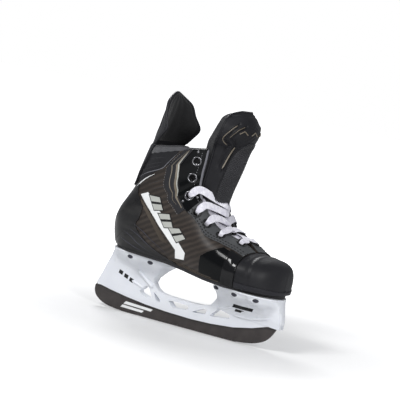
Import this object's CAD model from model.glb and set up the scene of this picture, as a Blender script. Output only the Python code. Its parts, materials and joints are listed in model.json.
"""Looks of the junior hockey skate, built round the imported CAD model.

Lengths are millimetres until a mesh is made. A place on the boot's skin is a section u, from 0 at the toe
to 26 at the rim, and a share a of the way round it, from 0 at the sole to 1 on the ridge.
"""
import json
import math

import bmesh
import bpy
import numpy as np
from mathutils import Matrix, Vector
from mathutils.bvhtree import BVHTree

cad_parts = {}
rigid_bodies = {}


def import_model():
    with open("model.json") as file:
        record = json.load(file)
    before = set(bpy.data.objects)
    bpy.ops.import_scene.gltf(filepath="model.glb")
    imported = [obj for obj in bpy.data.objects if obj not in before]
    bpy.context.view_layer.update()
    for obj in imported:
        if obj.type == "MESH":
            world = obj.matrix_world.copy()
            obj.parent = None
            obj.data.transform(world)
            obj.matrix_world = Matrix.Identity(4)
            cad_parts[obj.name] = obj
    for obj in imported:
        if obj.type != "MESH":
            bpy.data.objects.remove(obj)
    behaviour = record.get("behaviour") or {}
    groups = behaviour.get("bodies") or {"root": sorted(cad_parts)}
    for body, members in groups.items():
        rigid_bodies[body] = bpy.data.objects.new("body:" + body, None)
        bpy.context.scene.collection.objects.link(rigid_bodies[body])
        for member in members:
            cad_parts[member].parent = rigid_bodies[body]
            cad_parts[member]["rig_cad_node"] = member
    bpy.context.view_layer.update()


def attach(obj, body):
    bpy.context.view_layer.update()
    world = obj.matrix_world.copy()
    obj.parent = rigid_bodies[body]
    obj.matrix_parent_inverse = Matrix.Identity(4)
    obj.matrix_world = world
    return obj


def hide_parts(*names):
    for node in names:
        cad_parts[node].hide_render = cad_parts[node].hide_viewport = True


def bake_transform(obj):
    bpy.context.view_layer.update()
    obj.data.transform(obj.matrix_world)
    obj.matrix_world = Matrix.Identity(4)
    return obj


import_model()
MM = 0.001
LATERAL, MEDIAL = -1, 1

# ---------------------------------------------------------------- camera, light and floor

AZIMUTH, ELEVATION, ROLL = (math.radians(a) for a in (30.0, 5.0, 10.0))
DISTANCE = 1700.0
FIELD_WIDTH = 392.157   # what the view takes in across, at the target
TARGET = np.array([8.0, 0.0, 0.0])
CENTRE_OFFSET = (10.4902, -126.4706)   # middle of the view from the target, right and down in the rolled view


def place_camera():
    back = np.array([math.sin(AZIMUTH) * math.cos(ELEVATION),
                     -math.cos(AZIMUTH) * math.cos(ELEVATION), math.sin(ELEVATION)])
    right = np.array([math.cos(AZIMUTH), math.sin(AZIMUTH), 0.0])
    up = np.cross(back, right)
    cos_r, sin_r = math.cos(ROLL), math.sin(ROLL)
    dx, dy = CENTRE_OFFSET
    centre = TARGET + right * (dx * cos_r + dy * sin_r) + up * (dx * sin_r - dy * cos_r)
    camera = bpy.data.objects.new("camera", bpy.data.cameras.new("camera"))
    axes = np.array([cos_r * right + sin_r * up, -sin_r * right + cos_r * up, back])
    eye = (centre + back * DISTANCE) * MM
    camera.data.lens = camera.data.sensor_width * DISTANCE / FIELD_WIDTH
    camera.data.clip_start, camera.data.clip_end = 0.1, 20
    bpy.context.collection.objects.link(camera)
    camera.matrix_world = Matrix([[*axes[:, i], eye[i]] for i in range(3)] + [[0, 0, 0, 1]])
    bpy.context.scene.camera = camera


def area_light(name, place, aim, size, power):
    light = bpy.data.objects.new(name, bpy.data.lights.new(name, "AREA"))
    light.data.shape = "RECTANGLE"
    light.data.size, light.data.size_y = size
    light.data.energy = power
    light.location = place
    light.rotation_euler = (Vector(aim) - Vector(place)).to_track_quat("-Z", "Y").to_euler()
    bpy.context.collection.objects.link(light)


def studio():
    """Dim soft surroundings for the skate, seen as white where the camera looks past it."""
    world = bpy.data.worlds.new("studio")
    world.use_nodes = True
    tree = world.node_tree
    near, shown = tree.nodes["Background"], tree.nodes.new("ShaderNodeBackground")
    near.inputs["Color"].default_value = (0.94, 0.96, 1, 1)
    near.inputs["Strength"].default_value = 0.36
    shown.inputs["Color"].default_value = (1, 1, 1, 1)
    mix, path = tree.nodes.new("ShaderNodeMixShader"), tree.nodes.new("ShaderNodeLightPath")
    for start, end in ((path.outputs["Is Camera Ray"], mix.inputs[0]), (near.outputs[0], mix.inputs[1]),
                       (shown.outputs[0], mix.inputs[2]),
                       (mix.outputs[0], tree.nodes["World Output"].inputs["Surface"])):
        tree.links.new(start, end)
    bpy.context.scene.world = world
    middle = (0, 0, 0.11)
    area_light("key", (-0.15, -0.95, 0.95), middle, (0.4, 0.3), 7.5)
    area_light("front", (1.0, -0.75, 0.5), middle, (0.2, 0.5), 6)
    area_light("rim", (-0.7, 0.7, 0.8), middle, (0.5, 0.3), 6)
    mesh = bpy.data.meshes.new("floor")
    reach = 6
    mesh.from_pydata([(-reach, -reach, 0), (reach, -reach, 0), (reach, reach, 0), (-reach, reach, 0)],
                     [], [(0, 1, 2, 3)])
    floor = bpy.data.objects.new("floor", mesh)
    floor.location.z = -0.0005
    surface = bpy.data.materials.new("floor")
    surface.use_nodes = True
    tree = surface.node_tree
    shader = tree.nodes["Principled BSDF"]
    shader.inputs["Base Color"].default_value = (0.8, 0.8, 0.8, 1)
    shader.inputs["Roughness"].default_value = 0.9
    # The camera sees a glow that grows with distance, so the far floor meets the white backdrop unseen
    kinds = ("Emission", "LightPath", "AddShader", "TexCoord", "VectorMath", "MapRange", "Math")
    glow, path, add, place, length, fade, product = (tree.nodes.new(f"ShaderNode{k}") for k in kinds)
    length.operation, product.operation = "LENGTH", "MULTIPLY"
    for socket, value in zip(("From Min", "From Max", "To Min", "To Max"), (0.1, 0.6, 0.1, 1.0)):
        fade.inputs[socket].default_value = value
    glow.inputs["Color"].default_value = (1, 1, 1, 1)
    for start, end in ((place.outputs["Object"], length.inputs[0]),
                       (length.outputs["Value"], fade.inputs["Value"]),
                       (fade.outputs["Result"], product.inputs[0]),
                       (path.outputs["Is Camera Ray"], product.inputs[1]),
                       (product.outputs[0], glow.inputs["Strength"]),
                       (shader.outputs[0], add.inputs[0]), (glow.outputs[0], add.inputs[1]),
                       (add.outputs[0], tree.nodes["Material Output"].inputs["Surface"])):
        tree.links.new(start, end)
    mesh.materials.append(surface)
    bpy.context.collection.objects.link(floor)
    bpy.context.scene.view_settings.view_transform = "Standard"


place_camera()
studio()

# ---------------------------------------------------------------- materials


class Surface:
    """A Principled material and a few short ways to build its nodes."""

    def __init__(self, name, colour, rough, **sockets):
        self.material = bpy.data.materials.new(name)
        self.material.use_nodes = True
        self.tree = self.material.node_tree
        self.shader = self.tree.nodes["Principled BSDF"]
        self.shader.inputs["Base Color"].default_value = (*colour, 1)
        self.shader.inputs["Roughness"].default_value = rough
        for socket, value in sockets.items():
            self.shader.inputs[socket.replace("_", " ")].default_value = value
        self.place = self.node("ShaderNodeTexCoord").outputs["Object"]

    def node(self, kind, **settings):
        n = self.tree.nodes.new(kind)
        for key, value in settings.items():
            if hasattr(n, key):
                setattr(n, key, value)
            else:
                n.inputs[key.replace("_", " ")].default_value = value
        return n

    def link(self, a, b):
        self.tree.links.new(a, b)

    def turned(self, degrees=(0, 0, 0), stretch=(1, 1, 1)):
        """The place, turned and stretched."""
        n = self.node("ShaderNodeMapping")
        n.inputs["Rotation"].default_value = [math.radians(a) for a in degrees]
        n.inputs["Scale"].default_value = stretch
        self.link(self.place, n.inputs["Vector"])
        return n.outputs["Vector"]

    def noise(self, scale, detail=4, place=None):
        n = self.node("ShaderNodeTexNoise", Scale=scale, Detail=detail, Roughness=0.6)
        self.link(place or self.place, n.inputs["Vector"])
        return n.outputs["Fac"]

    def bands(self, scale, place, distortion, axis):
        n = self.node("ShaderNodeTexWave", Scale=scale, Distortion=distortion, Detail=1.0)
        n.bands_direction = axis
        n.inputs["Detail Scale"].default_value = 1.5
        self.link(place, n.inputs["Vector"])
        return n.outputs["Fac"]

    def cells(self, scale):
        n = self.node("ShaderNodeTexVoronoi", Scale=scale)
        self.link(self.place, n.inputs["Vector"])
        return n.outputs["Distance"]

    def ramp(self, value, *stops):
        n = self.node("ShaderNodeValToRGB")
        while len(n.color_ramp.elements) < len(stops):
            n.color_ramp.elements.new(0.5)
        for element, (where, colour) in zip(n.color_ramp.elements, stops):
            element.position = where
            element.color = (*colour, 1) if isinstance(colour, tuple) else (colour, colour, colour, 1)
        self.link(value, n.inputs["Fac"])
        return n.outputs["Color"]

    def feed(self, node, inputs):
        """Gives each input of the node its value: another node's output, a colour or a number."""
        for index, value in inputs.items():
            if hasattr(value, "is_linked"):
                self.link(value, node.inputs[index])
            else:
                node.inputs[index].default_value = (*value, 1) if isinstance(value, tuple) else value

    def mix(self, share, a, b):
        n = self.node("ShaderNodeMix", data_type="RGBA")
        self.feed(n, {0: share, 6: a, 7: b})
        return n.outputs[2]

    def sum(self, a, b, kind="ADD"):
        n = self.node("ShaderNodeMath", operation=kind)
        self.feed(n, {0: a, 1: b})
        return n.outputs[0]

    def axis(self, name):
        """One coordinate of the place, in metres."""
        n = self.node("ShaderNodeSeparateXYZ")
        self.link(self.place, n.inputs[0])
        return n.outputs[name]

    def between(self, value, low, high, to_low=0.0, to_high=1.0):
        n = self.node("ShaderNodeMapRange")
        self.feed(n, {"Value": value, "From Min": low, "From Max": high, "To Min": to_low, "To Max": to_high})
        return n.outputs["Result"]

    def colour(self, value):
        self.link(value, self.shader.inputs["Base Color"])
        return self

    def rough(self, value):
        self.link(value, self.shader.inputs["Roughness"])
        return self

    def bump(self, value, height, strength=0.6):
        """A bump of that height in millimetres, on top of any earlier one."""
        n = self.node("ShaderNodeBump", Strength=strength, Distance=height * MM)
        self.link(value, n.inputs["Height"])
        normal = self.shader.inputs["Normal"]
        if normal.is_linked:
            self.link(normal.links[0].from_socket, n.inputs["Normal"])
        self.link(n.outputs["Normal"], normal)
        return self


def quarter_surface():
    s = Surface("quarter_weave", (0.05, 0.038, 0.03), 0.42, Specular_IOR_Level=0.3)
    lean = s.turned((0, 38, 0))
    hatch = s.bands(330, lean, 0.4, "X")
    wide = s.bands(60, s.turned((0, 28, 0)), 1.6, "Z")
    patches = s.noise(28, 3)
    base = s.ramp(wide, (0.1, (0.013, 0.010, 0.0085)), (0.55, (0.03, 0.023, 0.019)),
                  (0.95, (0.05, 0.039, 0.032)))
    lines = s.ramp(hatch, (0.45, 0.0), (0.8, 1.0))
    woven = s.mix(s.sum(lines, 0.5, "MULTIPLY"), base, (0.07, 0.055, 0.046))
    mottled = s.mix(s.between(patches, 0.35, 0.7, 0.0, 0.6), woven, (0.018, 0.015, 0.0125))
    s.colour(mottled)
    s.rough(s.between(patches, 0.3, 0.7, 0.3, 0.5))
    return s.bump(hatch, 0.05, 0.5).bump(s.noise(900, 2), 0.02, 0.4).material


def heel_surface():
    s = Surface("heel_film", (0.02, 0.02, 0.022), 0.3, Specular_IOR_Level=0.25, Coat_Weight=0.2)
    brushed = s.noise(90, 3, s.turned((0, 35, 0), (0.15, 1, 1)))
    s.colour(s.mix(s.between(brushed, 0.4, 0.75), (0.006, 0.006, 0.007), (0.028, 0.027, 0.026)))
    s.rough(s.between(s.noise(60), 0.3, 0.7, 0.25, 0.42))
    return s.bump(brushed, 0.04).material


def grained(name, colour, worn, rough, grain=420, height=0.08, gloss=0.25, patch=35):
    """Moulded plastic or coated fabric: a fine pebble grain and slow colour variation."""
    s = Surface(name, colour, rough, Specular_IOR_Level=gloss)
    pebbles = s.cells(grain)
    patches = s.noise(patch, 4)
    s.colour(s.mix(s.between(patches, 0.35, 0.75), colour, worn))
    s.rough(s.between(patches, 0.3, 0.7, max(rough - 0.08, 0.05), min(rough + 0.1, 1)))
    return s.bump(pebbles, height, 0.5).bump(s.noise(grain * 2.5, 2), height / 3, 0.4).material


def cloth(name, colour, worn, scale=700, height=0.12, sheen=0.4):
    """Knitted or brushed fabric: two crossing ribs under fuzz."""
    s = Surface(name, colour, 0.9, Sheen_Weight=sheen, Sheen_Roughness=0.5)
    warp = s.bands(scale, s.turned((0, 0, 40)), 0.5, "X")
    weft = s.bands(scale, s.turned((0, 35, 0)), 0.5, "Z")
    fuzz = s.noise(450, 5)
    s.colour(s.mix(s.between(s.noise(60, 4), 0.3, 0.75), colour, worn))
    return s.bump(s.sum(warp, weft), height, 0.5).bump(fuzz, height, 0.5).material


def patent(name, colour, rough, wave=0.25, gloss=0.25):
    """Glossy film with the slow ripples that patent leather has."""
    s = Surface(name, colour, rough, Specular_IOR_Level=gloss, Coat_Weight=gloss, Coat_Roughness=0.04)
    s.rough(s.between(s.noise(150, 3), 0.3, 0.7, rough, rough + 0.12))
    return s.bump(s.noise(70, 2), wave, 0.35).bump(s.noise(700, 2), 0.015, 0.3).material


def metal(name, colour, rough):
    s = Surface(name, colour, rough, Metallic=1.0)
    s.rough(s.between(s.noise(400, 3), 0.3, 0.7, rough, rough + 0.15))
    return s.bump(s.noise(900, 3), 0.01, 0.4).material


def runner_surface():
    s = Surface("runner_coating", (0.035, 0.03, 0.029), 0.42, Specular_IOR_Level=0.4)
    grind = s.bands(900, s.turned((0, 0, 0), (0.02, 1, 1)), 1.0, "Z")
    edge = s.between(s.axis("Z"), 0.0, 0.0022, 1.0, 0.0)
    s.colour(s.mix(s.between(s.noise(90, 5), 0.3, 0.8), (0.033, 0.028, 0.027), (0.055, 0.047, 0.045)))
    s.rough(s.between(edge, 0.0, 1.0, 0.42, 0.3))
    return s.bump(grind, 0.01, 0.3).bump(s.noise(700, 3), 0.015, 0.4).material


def holder_surface():
    s = Surface("holder_nylon", (0.78, 0.80, 0.84), 0.32, Specular_IOR_Level=0.5)
    s.shader.inputs["Subsurface Weight"].default_value = 0.08
    s.shader.inputs["Subsurface Radius"].default_value = (0.004, 0.004, 0.005)
    s.colour(s.mix(s.between(s.noise(30, 4), 0.3, 0.8), (0.80, 0.82, 0.86), (0.72, 0.74, 0.79)))
    s.rough(s.between(s.noise(120, 4), 0.3, 0.7, 0.26, 0.42))
    return s.bump(s.noise(1100, 3), 0.02, 0.35).material


def lace_surface():
    s = Surface("lace_braid", (0.80, 0.79, 0.85), 0.85, Sheen_Weight=0.3)
    rib = s.cells(900)
    s.colour(s.mix(s.between(s.noise(250, 4), 0.3, 0.75), (0.86, 0.86, 0.90), (0.56, 0.54, 0.64)))
    return s.bump(rib, 0.2, 0.6).bump(s.noise(1500, 2), 0.05, 0.5).material


def tongue_surface():
    s = Surface("tongue_moulded", (0.01, 0.01, 0.012), 0.5, Specular_IOR_Level=0.25)
    s.colour(s.mix(s.between(s.noise(45, 4), 0.35, 0.75), (0.008, 0.008, 0.010), (0.017, 0.017, 0.02)))
    s.rough(s.between(s.noise(70, 3), 0.3, 0.7, 0.4, 0.62))
    return s.bump(s.cells(650), 0.06, 0.5).material


MATERIALS = {
    "quarter": quarter_surface(),
    "heel": heel_surface(),
    "toe": grained("toe_plastic", (0.010, 0.010, 0.012), (0.017, 0.017, 0.02), 0.5, 800, 0.03),
    "rand": grained("rand_rubber", (0.022, 0.022, 0.027), (0.015, 0.015, 0.018), 0.45, 600, 0.05),
    "outsole": grained("outsole_plastic", (0.02, 0.02, 0.022), (0.03, 0.029, 0.03), 0.5, 500, 0.05),
    "board": grained("fibre_board", (0.2, 0.16, 0.12), (0.15, 0.12, 0.09), 0.9, 300, 0.1),
    "footbed": cloth("footbed_cloth", (0.12, 0.12, 0.13), (0.08, 0.08, 0.09)),
    "patent": patent("patent_film", (0.002, 0.0022, 0.003), 0.05),
    "panel": patent("upper_panel_film", (0.0015, 0.002, 0.0025), 0.1, 0.08, 0.12),
    "stay": grained("eyestay_grain", (0.075, 0.078, 0.082), (0.052, 0.054, 0.057), 0.6, 330, 0.14),
    "stay_edge": grained("facing_edge", (0.19, 0.19, 0.21), (0.13, 0.13, 0.145), 0.5, 500, 0.08),
    "yoke_line": grained("yoke_line", (0.05, 0.05, 0.055), (0.03, 0.03, 0.033), 0.45, 500, 0.04),
    "trim_dark": grained("trim_dark", (0.024, 0.024, 0.027), (0.015, 0.015, 0.018), 0.4, 700, 0.04),
    "trim_gold": grained("trim_gold", (0.15, 0.125, 0.095), (0.27, 0.24, 0.20), 0.34, 700, 0.03),
    "trim_bronze": grained("trim_bronze", (0.055, 0.044, 0.034), (0.085, 0.07, 0.055), 0.4, 700, 0.03),
    "white": grained("white_print", (0.86, 0.87, 0.87), (0.74, 0.75, 0.75), 0.35, 900, 0.03, 0.5),
    "silver": grained("silver_print", (0.42, 0.43, 0.40), (0.50, 0.51, 0.48), 0.35, 700, 0.05),
    "eyelet": metal("eyelet_steel", (0.2, 0.2, 0.21), 0.12),
    "eyelet_black": grained("eyelet_lacquer", (0.01, 0.01, 0.011), (0.02, 0.02, 0.02), 0.3, 900, 0.02),
    "rivet": grained("rivet_lacquer", (0.03, 0.03, 0.04), (0.05, 0.05, 0.07), 0.4, 900, 0.02),
    "fastener": metal("zinc", (0.6, 0.6, 0.6), 0.3),
    "lining": cloth("boot_lining", (0.02, 0.02, 0.022), (0.03, 0.03, 0.032)),
    "collar": cloth("collar_cloth", (0.05, 0.05, 0.056), (0.085, 0.085, 0.093), 600, 0.18),
    "guard": grained("guard_plastic", (0.012, 0.012, 0.014), (0.02, 0.02, 0.023), 0.42, 600, 0.05),
    "guard_felt": cloth("guard_felt", (0.006, 0.006, 0.007), (0.012, 0.012, 0.013), 500, 0.15, 0.15),
    "felt": cloth("tongue_felt", (0.010, 0.010, 0.012), (0.018, 0.018, 0.02), 500, 0.2),
    "mesh": cloth("tongue_mesh", (0.016, 0.016, 0.019), (0.03, 0.03, 0.035), 420, 0.3, 0.2),
    "tongue": tongue_surface(),
    "thread": cloth("thread", (0.006, 0.006, 0.007), (0.01, 0.01, 0.01), 1500, 0.05, 0.0),
    "thread_grey": cloth("thread_grey", (0.16, 0.16, 0.17), (0.12, 0.12, 0.13), 1500, 0.05),
    "runner": runner_surface(),
    "holder": holder_surface(),
    "lace": lace_surface(),
}

# ---------------------------------------------------------------- the boot's outer surface

SOLE_LINE = np.array([[-92, 65], [-14, 61], [30, 55.4], [106, 50.2]])   # x and z of the outsole's underside
SOLE_T = 3.5
# x at the sole, x and z on the ridge, half width, half width at the sole, and the middle's shift sideways
SOLE_SECTIONS = [
    [101.5, 102.5, 73, 0.1, 0.1, 4], [100.5, 101.5, 78, 12, 11, 4], [97, 98, 82, 21.5, 20, 4],
    [90, 90.5, 85, 30, 28, 3.5], [80, 80, 86.5, 35.5, 33, 2.5], [66, 67, 88.5, 38, 35.5, 1],
    [54, 56, 95, 38.5, 36, 0.5], [42, 44, 99.5, 38, 35, 0], [30, 33, 104, 37, 33, 0],
    [18, 26, 110.5, 36, 31, 0], [4, 20.5, 120, 34.5, 29, 0], [-12, 17, 128, 33.5, 28, 0],
    [-28, 15, 134, 33, 28, 0], [-44, 13.5, 139, 33, 28.5, 0], [-58, 13, 143, 33, 28, 0],
    [-70, 12.5, 146, 33, 25, 0], [-79, 12, 148.5, 33.5, 19.5, 0], [-84, 12, 150.5, 33.5, 13, 0],
    [-87, 12, 152, 33.5, 6, 0]]
# x and z on the back seam, and z on the ridge, which is at RIDGE_X all the way up the ankle
BACK_SECTIONS = [[-90, 79, 155], [-90.5, 90, 158], [-87, 101, 162], [-80, 113, 166],
                 [-73, 126, 170], [-69.5, 140, 174], [-65.5, 154, 178], [-61, 169, 182]]
RIDGE_X, ANKLE_HALF = 12, 34
BLUNT = 2.5   # power of the rounded cross section: 2 is an ellipse, and more is squarer
U_CAP, U_STAY, U_RIM, U_TOP = 5, 12.4, 25.4, 26
# Section, and distance from the middle plane
FACING = np.array([[5, 3], [6, 5.5], [7, 9.5], [8, 13.5], [9, 17], [10, 20], [12, 22], [26, 22]])
EYELETS = [[23.3, 27.5], [20, 27], [14.7, 27.2], [11.2, 28], [9.5, 26], [7.65, 22], [6.1, 14]]
# Section, and height from 0 at the sole to 1 on the ridge
STAY_SEAM = np.array([[5, 0.89], [6, 0.85], [7.5, 0.82], [9, 0.745], [10.6, 0.73], [13, 0.70]])
PANEL_SEAM = np.array([[12, 0.70], [14, 0.72], [15.5, 0.742], [19, 0.762], [21.1, 0.739],
                       [23.3, 0.688], [25.25, 0.779], [26, 0.81]])
TRIM_EDGE = np.array([[12.9, 0.62], [15.2, 0.655], [18.95, 0.665], [22.5, 0.543], [23.5, 0.515],
                      [25.6, 0.688], [26, 0.72]])
STRIPE_MAIN = np.array([[13.2, 0.690], [15.75, 0.722], [18.6, 0.740], [21.3, 0.708], [23.5, 0.652],
                        [25.5, 0.745]])
STRIPE_THIN = np.array([[14.5, 0.680], [18.6, 0.704], [22.5, 0.613], [23.6, 0.580], [25.3, 0.725]])


def at(x, table):
    return np.interp(x, table[:, 0], table[:, 1])


def sole_z(x):
    return at(x, SOLE_LINE)


SECTIONS = np.array([[s[0], sole_z(s[0]) + SOLE_T + 0.1, *s[1:]] for s in SOLE_SECTIONS]
                    + [[s[0], s[1], RIDGE_X, s[2], ANKLE_HALF, 0, 0] for s in BACK_SECTIONS], float)


def spline(table, u):
    last = len(table) - 1
    i = np.clip(np.floor(u).astype(int), 0, last - 1)
    f = (u - i)[..., None]
    a, b, c, d = (table[np.clip(i + k, 0, last)] for k in (-1, 0, 1, 2))
    return 0.5 * (2 * b + (c - a) * f + (2 * a - 5 * b + 4 * c - d) * f ** 2
                  + (3 * b - a - 3 * c + d) * f ** 3)


def section(u):
    return np.moveaxis(spline(SECTIONS, np.asarray(u, float)), -1, 0)


def start_angle(s):
    return np.arcsin(np.clip(s[5] / s[4], 0, 1) ** (BLUNT / 2))


def share(angle):
    c = np.cos(angle)
    return (1 - np.sign(c) * np.abs(c) ** (2 / BLUNT)) / 2


def boot(u, a):
    """Point of the outer surface: section u, and a from 0 at the sole to 1 on the ridge."""
    u, a = np.broadcast_arrays(np.asarray(u, float), np.asarray(a, float))
    s = section(u)
    start = start_angle(s)
    angle = start + (math.pi - start) * a
    t = (share(angle) - share(start)) / (1 - share(start))
    return np.stack([s[0] + (s[2] - s[0]) * t, s[4] * np.maximum(np.sin(angle), 0) ** (2 / BLUNT),
                     s[1] + (s[3] - s[1]) * t], -1)


def up(u, t):
    """The a of the place a fraction t of the way up a section."""
    s = section(u)
    start = start_angle(s)
    h = share(start) + (1 - share(start)) * np.asarray(t, float)
    c = np.abs(1 - 2 * h) ** (BLUNT / 2)
    angle = np.where(h > 0.5, np.arccos(-c), np.arccos(c))
    return np.maximum((angle - start) / (math.pi - start), 0)


def beside(u, y):
    """The a of the place near the ridge that is y away from the middle plane."""
    s = section(u)
    start = start_angle(s)
    angle = math.pi - np.arcsin((np.asarray(y, float) / s[4]) ** (BLUNT / 2))
    return (angle - start) / (math.pi - start)


def unit(v):
    return v / np.maximum(np.linalg.norm(v, axis=-1, keepdims=True), 1e-9)


def normal(u, a):
    e = 0.01
    along = boot(np.minimum(u + e, U_TOP), a) - boot(np.maximum(u - e, 0), a)
    around = boot(u, np.minimum(a + e, 1)) - boot(u, np.maximum(a - e, 0))
    return unit(np.cross(along, around))


def skin(u, a, depth, side, room=0.15):
    """Point at a depth under the surface on one side, at least room from the middle plane."""
    u, a, depth = np.broadcast_arrays(np.asarray(u, float), np.asarray(a, float),
                                      np.asarray(depth, float))
    p = boot(u, a) - depth[..., None] * normal(u, a)
    return np.stack([p[..., 0], section(u)[6] + side * np.maximum(p[..., 1], room), p[..., 2]], -1)


def skin_normal(u, a, side):
    n = normal(np.asarray(u, float), np.asarray(a, float))
    return n * np.array([1, side, 1])


def facing_a(u):
    return beside(u, at(u, FACING))


# ---------------------------------------------------------------- mesh helpers


def piece(name, points, faces, material, smooth=35):
    mesh = bpy.data.meshes.new(name)
    mesh.from_pydata((np.asarray(points, float).reshape(-1, 3) * MM).tolist(), [],
                     [list(map(int, f)) for f in faces])
    bm = bmesh.new()
    bm.from_mesh(mesh)
    bmesh.ops.remove_doubles(bm, verts=bm.verts, dist=1e-6)
    bmesh.ops.dissolve_degenerate(bm, edges=bm.edges, dist=1e-7)
    bmesh.ops.recalc_face_normals(bm, faces=bm.faces)
    bm.to_mesh(mesh)
    bm.free()
    mesh.materials.append(MATERIALS[material])
    mesh.shade_smooth()
    mesh.set_sharp_from_angle(angle=math.radians(smooth))
    obj = bpy.data.objects.new(name, mesh)
    bpy.context.collection.objects.link(obj)
    return obj


def bake(obj, *modifiers, smooth=35):
    """Runs modifiers on a piece and keeps the outcome as its mesh."""
    for kind, settings in modifiers:
        m = obj.modifiers.new(kind, kind)
        for key, value in settings.items():
            setattr(m, key, value)
    evaluated = obj.evaluated_get(bpy.context.evaluated_depsgraph_get())
    mesh = bpy.data.meshes.new_from_object(evaluated)
    mesh.name = obj.name
    obj.modifiers.clear()
    old, obj.data = obj.data, mesh
    bpy.data.meshes.remove(old)
    mesh.shade_smooth()
    mesh.set_sharp_from_angle(angle=math.radians(smooth))
    return obj


def bevelled(obj, width=0.4, segments=2, angle=40):
    return bake(obj, ("BEVEL", dict(width=width * MM, segments=segments, limit_method="ANGLE",
                                    angle_limit=math.radians(angle))))


def slab_faces(rows, cols):
    """Faces of a closed solid between two grids of points with the same rows and columns."""
    n = rows * cols
    faces = []
    for i in range(rows - 1):
        for j in range(cols - 1):
            k = i * cols + j
            faces.append([k, k + 1, k + cols + 1, k + cols])
            faces.append([n + k, n + k + cols, n + k + cols + 1, n + k + 1])
    for i in range(rows - 1):
        k = i * cols
        faces.append([k, k + cols, n + k + cols, n + k])
        k += cols - 1
        faces.append([k, n + k, n + k + cols, k + cols])
    for j in range(cols - 1):
        faces.append([j, n + j, n + j + 1, j + 1])
        k = (rows - 1) * cols + j
        faces.append([k, k + 1, n + k + 1, n + k])
    return faces


def slab(name, outer, inner, material, bevel=0.35, segments=2):
    rows, cols = outer.shape[:2]
    obj = piece(name, np.concatenate([outer.reshape(-1, 3), inner.reshape(-1, 3)]),
                slab_faces(rows, cols), material)
    return bevelled(obj, bevel, segments) if bevel else obj


def panel_grid(side, u0, u1, low, high, depth, rows, cols):
    """Grid over a piece of the boot. The edges give a for each section, and the depth is a number or
    a function of the fractions along and across."""
    f = np.linspace(0, 1, rows + 1)[:, None] + np.zeros((1, cols + 1))
    g = np.linspace(0, 1, cols + 1)[None, :] + np.zeros((rows + 1, 1))
    u = u0 + (u1 - u0) * f
    lo, hi = low(u), high(u)
    d = depth(f, g) if callable(depth) else depth
    return skin(u, lo + (hi - lo) * g, d, side)


def boot_panel(name, grid, outer, inner, rows, cols, material, bevel, segments=2):
    """Closed piece between two depths on the boot. The grid gives side, first and last section and edges."""
    return slab(name, panel_grid(*grid, outer, rows, cols), panel_grid(*grid, inner, rows, cols),
                material, bevel, segments)


def seam(table, shift=0.0):
    return lambda u: up(u, at(u, table) + shift)


def floor_edge(u):
    return np.zeros_like(u)


def sweep(points, faces_to, profile):
    """Points and faces of a cross section carried along a path. The profile's first axis runs across
    the path and the second along the direction that the path's face looks to."""
    p, n = np.asarray(points, float), np.asarray(faces_to, float)
    way = np.gradient(p, axis=0)
    across = unit(np.cross(unit(way), n))
    rise = unit(np.cross(across, way))
    profile = np.asarray(profile, float)
    if profile.ndim == 2:
        profile = np.repeat(profile[None], len(p), 0)
    ring = p[:, None] + across[:, None] * profile[:, :, :1] + rise[:, None] * profile[:, :, 1:]
    return ring.reshape(-1, 3), tube_faces(*ring.shape[:2])


def tube_faces(rows, cols):
    """Faces of a tube through rings of points, closed at both ends."""
    faces = [[i * cols + j, i * cols + (j + 1) % cols, (i + 1) * cols + (j + 1) % cols, (i + 1) * cols + j]
             for i in range(rows - 1) for j in range(cols)]
    return faces + [list(range(cols))[::-1], [(rows - 1) * cols + j for j in range(cols)]]


def oval(width, height, sides=8):
    angle = np.arange(sides) * 2 * math.pi / sides
    return np.stack([np.cos(angle) * width / 2, np.sin(angle) * height / 2], -1)


def swell(first, last, count):
    """Sizes along a rib that is thin at both ends."""
    return np.clip(np.sin(math.pi * np.linspace(first, last, count)), 0, 1)


def turned_part(p, n, lean, profile, sides, radii=(1, 1), hollow=False):
    """Small part turned round the normal n at p, from a profile of radius and height. The lean fixes where
    its first side looks, and a hollow part's profile closes on itself."""
    x = unit(np.cross(n, lean))
    y = np.cross(n, x)
    angle = np.linspace(0, 2 * math.pi, sides + 1)[:-1]
    spoke = np.cos(angle)[:, None] * x * radii[0] + np.sin(angle)[:, None] * y * radii[1]
    points = p + spoke[:, None] * profile[None, :, :1] + n * profile[None, :, 1:]
    c = len(profile)
    faces = [[i * c + j, i * c + (j + 1) % c, (i + 1) % sides * c + (j + 1) % c, (i + 1) % sides * c + j]
             for i in range(sides) for j in range(c if hollow else c - 1)]
    if not hollow:
        faces += [[i * c for i in range(sides)][::-1], [i * c + c - 1 for i in range(sides)]]
    return points.reshape(-1, 3), faces


def joined(parts):
    """Several (points, faces) as one."""
    points, faces, n = [], [], 0
    for p, f in parts:
        points.append(p)
        faces += [[k + n for k in face] for face in f]
        n += len(p)
    return np.concatenate(points), faces


def on_skin(u, a, side, lift):
    """Points and normals of a path over the boot."""
    return skin(u, a, -lift, side), skin_normal(u, a, side)


def skin_rope(route, side, lift, profile, sizes):
    """Cord over the boot along a smooth route of sections and heights, scaled by the sizes."""
    u, t = curve(route, len(sizes)).T
    return sweep(*on_skin(u, up(u, t), side, lift), profile[None] * sizes[:, None, None])


def resampled(points, step, *others):
    """Path with even steps, and the same for values that go with its points."""
    length = np.concatenate([[0], np.cumsum(np.linalg.norm(np.diff(points, axis=0), axis=1))])
    count = max(int(round(length[-1] / step)), 2) + 1
    at_length = np.linspace(0, length[-1], count)
    return [np.stack([np.interp(at_length, length, v[:, k]) for k in range(v.shape[1])], -1)
            for v in (points, *others)]


def curve(points, count):
    """Smooth path through points."""
    points = np.asarray(points, float)
    return spline(points, np.linspace(0, len(points) - 1, count))


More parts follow.
